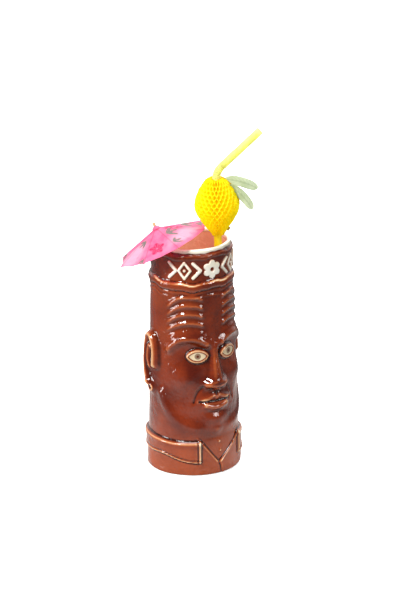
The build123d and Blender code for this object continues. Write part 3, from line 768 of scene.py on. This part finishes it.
def build_comb(material):
    """Eight wedges of wavy tissue leaves, which touch in turn and so leave open cells."""
    fins = SECTORS * FINS_PER_SECTOR
    step = 2 * math.pi / fins
    us = np.linspace(0.2, 44.0, 134)
    shares = np.array([0, 0.35, 0.7, 0.9, 1.0])
    found = []
    for sector in range(SECTORS):
        verts, faces, cell_shade = [], [], []
        for k in range(FINS_PER_SECTOR):
            i = sector * FINS_PER_SECTOR + k
            sign = 1 if i % 2 else -1
            wave = np.cos(math.pi * (us - 1) / CELL_HALF_HEIGHT)
            wave = np.sign(wave) * abs(wave) ** 0.7
            angle = (i + 0.5) * step + sign * step / 2 * 0.97 * wave
            if i in (0, fins - 1):
                angle = (i + 0.5) * step + (1 if i else -1) * -0.1 * step + sign * step * 0.3 * wave
            R = lemon_radius(us) * (1 + 0.012 * rng.standard_normal())
            r = LEMON_BORE + (R[:, None] - LEMON_BORE) * shares[None, :]
            base = len(verts) * len(us) * len(shares)
            verts.append(lemon_point(r, angle[:, None], us[:, None]).reshape(-1, 3))
            faces += grid_faces(len(us), len(shares), start=base)
            # cell_shade is painted shade: 0.8 at the bore, none at the outer edge.
            cell_shade.append(np.broadcast_to(1 - shares**2, r.shape).reshape(-1) * 0.8)
        name, attrs = f"honeycomb_tissue_{sector + 1}", {"cell_shade": np.concatenate(cell_shade)}
        obj = mesh_object(name, np.concatenate(verts), faces, material, attrs=attrs)
        found.append(thicken(obj, "paper", PAPER_THICK))
    return found


def leaf_material():
    m = Mat("leaf_film", rgb(196, 210, 176), Roughness=0.35, Alpha=0.72)
    vein, mottle = m.attr("vein"), m.noise(140, 4, 0.6)
    tint = m.mix(m.span(mottle, 0.3, 0.7), rgb(230, 238, 214), rgb(212, 224, 192))
    tint = m.mix(m.math("MULTIPLY", vein, 0.6), tint, rgb(172, 190, 150))
    m.color(tint).bump(vein, 0.0002, 0.5)
    return m.thin_sheet(tint, 0.6)


def arc_through(a, b, c, n):
    """Points on the circle through a, b and c, from a to c."""
    a, b, c = (complex(*p) for p in (a, b, c))
    w = (c - a) / (b - a)
    centre = (b - a) * (w - abs(w) ** 2) / (2j * w.imag) + a
    r = abs(a - centre)
    start, mid, end = (np.angle(p - centre) for p in (a, b, c))
    span = (end - start) % (2 * math.pi)
    if (mid - start) % (2 * math.pi) > span:
        span -= 2 * math.pi
    t = start + span * np.linspace(0, 1, n)
    return np.stack([centre.real + r * np.cos(t), centre.imag + r * np.sin(t)], -1)


def build_leaf(name, side, base, tip, over, under, material, curl):
    rows, cols = 48, 15
    top, low = arc_through(base, over, tip, rows), arc_through(base, under, tip, rows)
    s = np.linspace(0, 1, cols)
    t = np.linspace(0, 1, rows)[:, None]
    middle, across = (top + low) / 2, np.gradient((top + low) / 2, axis=0)
    across = np.stack([-across[:, 1], across[:, 0]], -1) / np.hypot(*across.T)[:, None]
    taper = np.clip(1 - abs(2 * t[:, 0] ** 1.15 - 1) ** 3.2, 0, 1) ** 0.55
    wide = np.hypot(*(top - low).T).max() / 2 * taper
    P = middle[:, None] + across[:, None] * (wide[:, None] * (1 - 2 * s[None, :]))[..., None]
    mid = abs(s[None, :] - 0.5) * 2
    away = side * (0.73 + 0.9 * (0.25 - (s[None, :] - 0.5) ** 2) * 1.2 * np.sin(math.pi * t) + curl * t**2.2)
    side_veins = np.exp(-((((t * 9 + mid * 1.6) % 1 - 0.5) / 0.12) ** 2)) * (mid > 0.1)
    vein = np.exp(-((mid / 0.12) ** 2)) + 0.6 * side_veins
    verts = LEMON_ORIGIN + P[..., :1] * LEMON_X + away[..., None] * LEMON_Y + P[..., 1:] * STRAW_AXIS
    attrs = {"vein": np.clip(vein, 0, 1).reshape(-1)}
    obj = mesh_object(name, verts.reshape(-1, 3), grid_faces(rows, cols), material, attrs=attrs)
    return thicken(obj, "film", FILM_THICK)


# ---- Cocktail umbrella ---------------------------------------------------
def canopy_point(x, y, depth):
    return APEX + x[..., None] * CANOPY_X + y[..., None] * CANOPY_Y - depth[..., None] * STICK_AXIS


def paper_material():
    m = Mat("pink_paper", rgb(255, 140, 190), Roughness=0.5, Alpha=0.86)
    rose, leaf, pale, fold_shade = m.attr("rose"), m.attr("leaf"), m.attr("pale"), m.attr("fold_shade")
    fibre = m.noise(800, 4, 0.7)
    wash = m.noise(130, 4, 0.6)
    tint = m.mix(m.span(wash, 0.35, 0.65), rgb(255, 118, 168), rgb(255, 146, 188))
    tint = m.mix(m.math("MULTIPLY", pale, m.span(wash, 0.2, 0.5)), tint, rgb(255, 190, 214))
    tint = m.mix(m.math("MULTIPLY", rose, m.span(fibre, 0.2, 0.45)), tint, rgb(226, 36, 104))
    tint = m.mix(m.math("MULTIPLY", leaf, m.span(fibre, 0.2, 0.5)), tint, rgb(142, 140, 134))
    # Painted shade: a dull darker line along the fold over each rib.
    tint = m.mix(m.math("MULTIPLY", fold_shade, 0.45), tint, rgb(150, 70, 96))
    m.color(tint).bump(fibre, 0.00006, 0.4)
    return m.thin_sheet(tint, 0.5)


FLOWERS = [(23.0, -98.0, 6.4), (9.0, -10.0, 4.0), (15.5, -11.0, 3.6), (18.0, 62.0, 5.5), (24.0, 128.0, 5.6)]
SPRIGS = [
    (12.0, -60.0, 20, 8.5), (26.0, -68.0, 35, 6.5), (12.0, -143.0, 190, 6.5), (17.0, 11.0, 12, 9.0),
    (27.0, 8.0, -10, 7.0), (29.0, 166.0, 150, 6.5), (24.0, 95.0, 10, 6.0), (31.0, -118.0, 200, 5.5),
]


def canopy_print(x, y):
    """How much of each colour is printed at a point of the flat canopy."""
    rose = np.zeros(x.shape)
    leaf = np.zeros(x.shape)
    for r, bearing, size in FLOWERS:
        dx, dy = x - r * math.cos(bearing * DEG), y - r * math.sin(bearing * DEG)
        d, a = np.hypot(dx, dy), np.arctan2(dy, dx)
        petal = size * (0.62 + 0.38 * abs(np.cos(2.5 * a + bearing)))
        shade = 0.55 + 0.45 * np.cos(5 * a + 2 * bearing) ** 2
        rose = np.maximum(rose, sstep(petal, petal - 0.9, d) * shade * sstep(0.5, 1.1, d))
    for r, bearing, turn, size in SPRIGS:
        dx, dy = x - r * math.cos(bearing * DEG), y - r * math.sin(bearing * DEG)
        for k in (-1, 0, 1):
            a = (turn + 42 * k) * DEG
            u, v = dx * math.cos(a) + dy * math.sin(a) - size * 0.5, -dx * math.sin(a) + dy * math.cos(a)
            leaf = np.maximum(leaf, sstep(1.0, 0.75, (u / (size * 0.55)) ** 2 + (v / (size * 0.17)) ** 2))
    pale = sstep(0.1, 0.9, np.sin(x / 6.5 + 1.5 * np.sin(y / 9)) * 0.5 + np.sin(y / 5 - x / 11) * 0.5)
    pale = np.clip(pale + 1.3 * lump(x, y, -21.9, -12.1, 10, 10, 4), 0, 1)
    return rose, leaf, pale


def build_gores(material):
    """The canopy's panels, each a creased sheet that sags between its folds."""
    found = []
    half = math.pi / GORES
    rows, cols = 70, 41
    for k in range(GORES):
        turn = (CANOPY_SPIN + 360 / GORES * k) * DEG
        rho = np.linspace(CANOPY_HOLE, CANOPY_RADIUS, rows)[:, None]
        s = np.linspace(-1, 1, cols)[None, :]
        edge = rho * math.cos(half)
        x = rho + (edge * math.cos(half) - rho) * abs(s)
        y = edge * math.sin(half) * s
        scallop = 0.5 * (rho / CANOPY_RADIUS) ** 6 * np.sin(abs(s) * math.pi / 2)
        x = x - scallop
        sag = 0.75 * (rho / CANOPY_RADIUS) ** 1.3 * abs(s) ** 1.4
        ripple = 0.08 * np.sin(rho * 1.1 + 3 * s + k * 2.1) * np.sin(abs(s) * math.pi)
        depth = rho * CANOPY_DROP / CANOPY_RADIUS + sag + ripple + 0.06
        X = x * math.cos(turn) - y * math.sin(turn)
        Y = x * math.sin(turn) + y * math.cos(turn)
        rose, leaf, pale = (v.reshape(-1) for v in canopy_print(X, Y))
        # Painted shade along the fold at the rib, fading in near the stick.
        fold_shade = np.broadcast_to(np.exp(-((y / 0.4) ** 2)) * sstep(1.5, 5, rho), X.shape).reshape(-1)
        verts = canopy_point(X, Y, depth).reshape(-1, 3)
        obj = mesh_object(
            f"canopy_paper_{k + 1}", verts, grid_faces(rows, cols), material,
            attrs={"rose": rose, "leaf": leaf, "pale": pale, "fold_shade": fold_shade},
        )
        found.append((thicken(obj, "paper", PAPER_THICK), turn))
    return found


# ---- Materials for pieces that stay as the CAD made them ------------------
def wood_material(name, light, dark):
    m = Mat(name, light, Roughness=0.55)
    grain = m.noise(260, 4, 0.6, stretch=(1, 1, 0.12))
    return m.color(m.mix(m.span(grain, 0.35, 0.7), light, dark)).bump(grain, 0.00008, 0.4)


def plain_paper(name, one, two, rough=0.6):
    m = Mat(name, one, Roughness=rough)
    fibre = m.noise(500, 4, 0.7)
    return m.color(m.mix(m.span(fibre, 0.35, 0.65), one, two)).bump(fibre, 0.00005, 0.4)


def dress(node, material):
    """Gives a CAD node that stays as it is its material."""
    obj = frame["nodes"][node]
    obj.data.materials.clear()
    obj.data.materials.append(material.data)


# ---- Assemble ------------------------------------------------------------
brown, cream = mug_material(), cream_material()
mug = build_mug(brown)
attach(mug, "mug")
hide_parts("mug_body")
for piece, node in (
    (build_lip(cream), "rim_glaze"),
    (build_motif(cream), "hat_motif"),
    (build_eyes(eye_material()), "eye_inlays"),
):
    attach(piece, "mug")
    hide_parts(node)

# The bellows and mouth tube take a paler copy of the same yellow plastic: painted light, the brightly lit
# upper straw.
straw_low = straw_material("straw_plastic", rgb(255, 244, 50), rgb(255, 250, 90), 0.6)
straw_painted_lit = straw_material("straw_plastic_lit", rgb(255, 255, 165), rgb(255, 255, 200), 0.65)
straw_lower, straw_neck, straw_mouth = build_straw(straw_low, straw_painted_lit)
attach(straw_lower, "straw")
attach(straw_mouth, "straw_mouth")
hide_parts("straw_lower_tube")
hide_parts("straw_mouth_tube")
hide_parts("straw_bellows")
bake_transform(straw_neck)

for index, piece in enumerate(build_comb(tissue_material())):
    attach(piece, f"comb_{index + 1}")
    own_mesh(piece)
    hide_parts(f"honeycomb_sector_{index + 1}")

leaf = leaf_material()
leaf_long = build_leaf("leaf_long", 1, (5.5, 42.4), (29.4, 33.6), (19.6, 43.0), (15.5, 36.6), leaf, 1.6)
leaf_short = build_leaf("leaf_short", -1, (8.6, 38.6), (25.2, 19.6), (22.0, 30.6), (16.0, 27.6), leaf, 1.4)
for piece, body, node in (
    (leaf_long, "lemon", "lemon_leaf_upper"),
    (leaf_short, "lemon_front", "lemon_leaf_lower"),
):
    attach(piece, body)
    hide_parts(node)

pink = paper_material()
for index, (piece, turn) in enumerate(build_gores(pink)):
    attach(piece, f"rib_{index + 1}")
    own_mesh(piece)
    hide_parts(f"canopy_gore_{index + 1}")

pick = wood_material("pick_wood", rgb(214, 186, 140), rgb(176, 140, 96))
split = wood_material("rib_wood", rgb(224, 200, 160), rgb(190, 158, 112))
card = plain_paper("lemon_card", rgb(226, 196, 40), rgb(206, 172, 30))
sleeve = plain_paper("sleeve_paper", rgb(222, 216, 200), rgb(204, 196, 178))
ring = plain_paper("ring_plastic", rgb(236, 232, 214), rgb(228, 222, 200), rough=0.3)
for node in frame["nodes"]:
    if node in ("umbrella_stick", "umbrella_top_hub"):
        dress(node, pick)
    elif node.startswith(("umbrella_rib", "umbrella_strut", "umbrella_runner")):
        dress(node, split)
    elif node.startswith("lemon_card"):
        dress(node, card)
    elif node == "umbrella_paper_sleeve":
        dress(node, sleeve)
    elif node == "umbrella_stop_ring":
        dress(node, ring)
    elif node == "umbrella_top_cap":
        dress(node, pink)

# ---- Studio --------------------------------------------------------------
# Metres from here on, but for a light's target, which is in millimetres.
CAMERA_RIGHT = lean(90, RIGHT_BEARING)
AHEAD = lean(90, RIGHT_BEARING + 90)
CAMERA_PITCH, CAMERA_ROLL = 20.0, 0.82
CAMERA_AWAY = 2.4
CAMERA_LENS = 198.9
MUG_MIDDLE = 0.085
AIM_RIGHT, AIM_UP = 0.00644, 0.03569      # the camera aims this far off the mug's middle


def floor():
    """White to the camera; in reflections it darkens away from the mug, as a small sheet would."""
    m = Mat("floor", (0.9, 0.9, 0.9), Roughness=0.9)
    reach = m.node("VectorMath", operation="LENGTH")
    m.link(m.node("TexCoord").outputs["Object"], reach.inputs[0])
    sheet = m.mix(m.span(reach.outputs["Value"], 0.05, 0.30), (0.42, 0.38, 0.36), (0.07, 0.07, 0.07))
    seen = m.node("LightPath").outputs["Is Camera Ray"]
    m.color(m.mix(seen, sheet, m.mix(m.noise(2.0, 1), (0.93, 0.93, 0.93), (0.95, 0.95, 0.95))))
    m.shader.inputs["Emission Color"].default_value = (1, 1, 1, 1)
    m.link(m.math("MULTIPLY", seen, 0.6), m.shader.inputs["Emission Strength"])
    bpy.ops.mesh.primitive_plane_add(size=12, location=(0, 0, -0.0002))
    plane = bpy.context.object
    plane.name = "studio_floor"
    plane.data.materials.append(m.data)


def world():
    """White to the camera; as light, brighter beyond the mug than on the camera's side."""
    w = bpy.data.worlds.new("studio")
    bpy.context.scene.world = w
    w.use_nodes = True
    t = w.node_tree
    t.nodes.clear()
    coord = t.nodes.new("ShaderNodeTexCoord")
    dot = t.nodes.new("ShaderNodeVectorMath")
    dot.operation = "DOT_PRODUCT"
    dot.inputs[1].default_value = tuple(AHEAD)
    t.links.new(coord.outputs["Generated"], dot.inputs[0])
    spread = t.nodes.new("ShaderNodeMapRange")
    spread.interpolation_type = "SMOOTHSTEP"
    for key, value in (("From Min", 0.05), ("From Max", 0.75), ("To Min", 0.16), ("To Max", 1.15)):
        spread.inputs[key].default_value = value
    t.links.new(dot.outputs["Value"], spread.inputs["Value"])
    room = t.nodes.new("ShaderNodeBackground")
    t.links.new(spread.outputs["Result"], room.inputs["Strength"])
    seen = t.nodes.new("ShaderNodeBackground")
    seen.inputs["Strength"].default_value = 1.0
    path = t.nodes.new("ShaderNodeLightPath")
    mix = t.nodes.new("ShaderNodeMixShader")
    out = t.nodes.new("ShaderNodeOutputWorld")
    t.links.new(path.outputs["Is Camera Ray"], mix.inputs[0])
    t.links.new(room.outputs[0], mix.inputs[1])
    t.links.new(seen.outputs[0], mix.inputs[2])
    t.links.new(mix.outputs[0], out.inputs["Surface"])


def softbox(name, right, back, up, width, height, power, target=(0, 0, 110)):
    """A rectangular light placed by its offset from the mug as the camera sees it."""
    light = bpy.data.lights.new(name, "AREA")
    light.shape = "RECTANGLE"
    light.size, light.size_y, light.energy = width, height, power
    obj = bpy.data.objects.new(name, light)
    bpy.context.collection.objects.link(obj)
    place = Vector(CAMERA_RIGHT) * right + Vector(AHEAD) * -back + Vector((0, 0, up))
    obj.location = place
    aim = Vector(target) * MM - place
    obj.rotation_euler = aim.to_track_quat("-Z", "Y").to_euler()


def camera():
    data = bpy.data.cameras.new("camera")
    data.lens, data.sensor_width, data.sensor_fit = CAMERA_LENS, 36.0, "AUTO"
    data.clip_end = 50
    cam = bpy.data.objects.new("camera", data)
    bpy.context.collection.objects.link(cam)
    pitch, roll = CAMERA_PITCH * DEG, CAMERA_ROLL * DEG
    back = -AHEAD * math.cos(pitch) + np.array([0, 0, math.sin(pitch)])
    up = AHEAD * math.sin(pitch) + np.array([0, 0, math.cos(pitch)])
    place = np.array([0, 0, MUG_MIDDLE]) + back * CAMERA_AWAY
    dx, dy = AIM_RIGHT / CAMERA_AWAY, AIM_UP / CAMERA_AWAY
    aim_right = dx * math.cos(roll) - dy * math.sin(roll)
    aim_up = dx * math.sin(roll) + dy * math.cos(roll)
    z = -unit(-back + CAMERA_RIGHT * aim_right + up * aim_up)
    right = unit(np.cross(up, z))
    true_up = np.cross(z, right)
    x = right * math.cos(roll) - true_up * math.sin(roll)
    y = right * math.sin(roll) + true_up * math.cos(roll)
    cam.matrix_world = Matrix([[x[i], y[i], z[i], place[i]] for i in range(3)] + [[0, 0, 0, 1]])
    bpy.context.scene.camera = cam


floor()
world()
softbox("key", -0.75, 0.95, 1.15, 0.30, 0.45, 22)
softbox("band", -1.15, 0.35, 0.30, 0.30, 0.8, 9)
softbox("fill", 1.0, 0.8, 0.7, 0.35, 0.6, 7)
softbox("top", 0.0, -0.1, 1.6, 1.0, 1.0, 24)
softbox("back", 0.35, -1.2, 0.9, 0.8, 0.8, 12, target=(0, 0, 190))
camera()
scene = bpy.context.scene
scene.view_settings.view_transform = "Standard"
scene.view_settings.look = "None"
